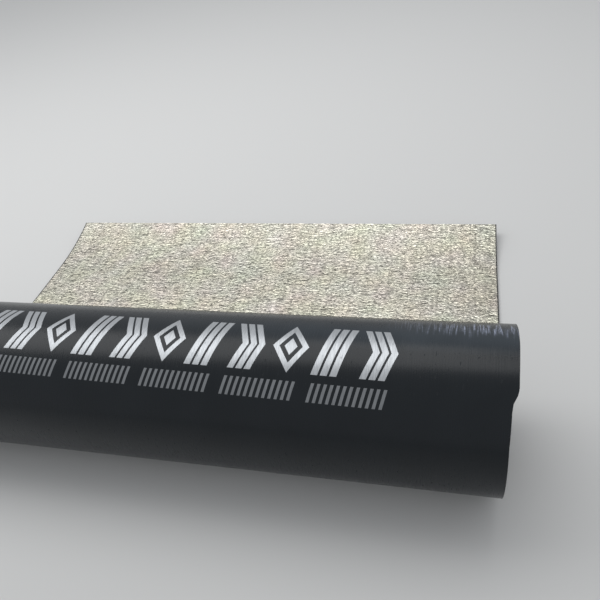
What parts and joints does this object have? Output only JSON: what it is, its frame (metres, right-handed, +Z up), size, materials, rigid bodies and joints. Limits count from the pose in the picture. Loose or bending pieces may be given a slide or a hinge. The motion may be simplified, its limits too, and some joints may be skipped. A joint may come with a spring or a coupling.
{
  "type": "roll of roofing felt",
  "caption": "Roll of bitumen roofing felt lying on its side, black film outside and crinkled foil inside, with an open bore and its loose end unrolled flat behind it.",
  "frame": {"origin": "on the floor, in the middle of the footprint of the roll and its loose end", "axes": "+X along the roll's axis, +Y from the roll towards the cut edge of the loose end, +Z up"},
  "size_m": [1, 0.6852, 0.2377],
  "materials": {
    "felt": "matte",
    "film": "satin",
    "foil": "crinkled"
  },
  "bodies": {
    "root": {"roofing_felt_roll": "felt"}
  },
  "joints": []
}
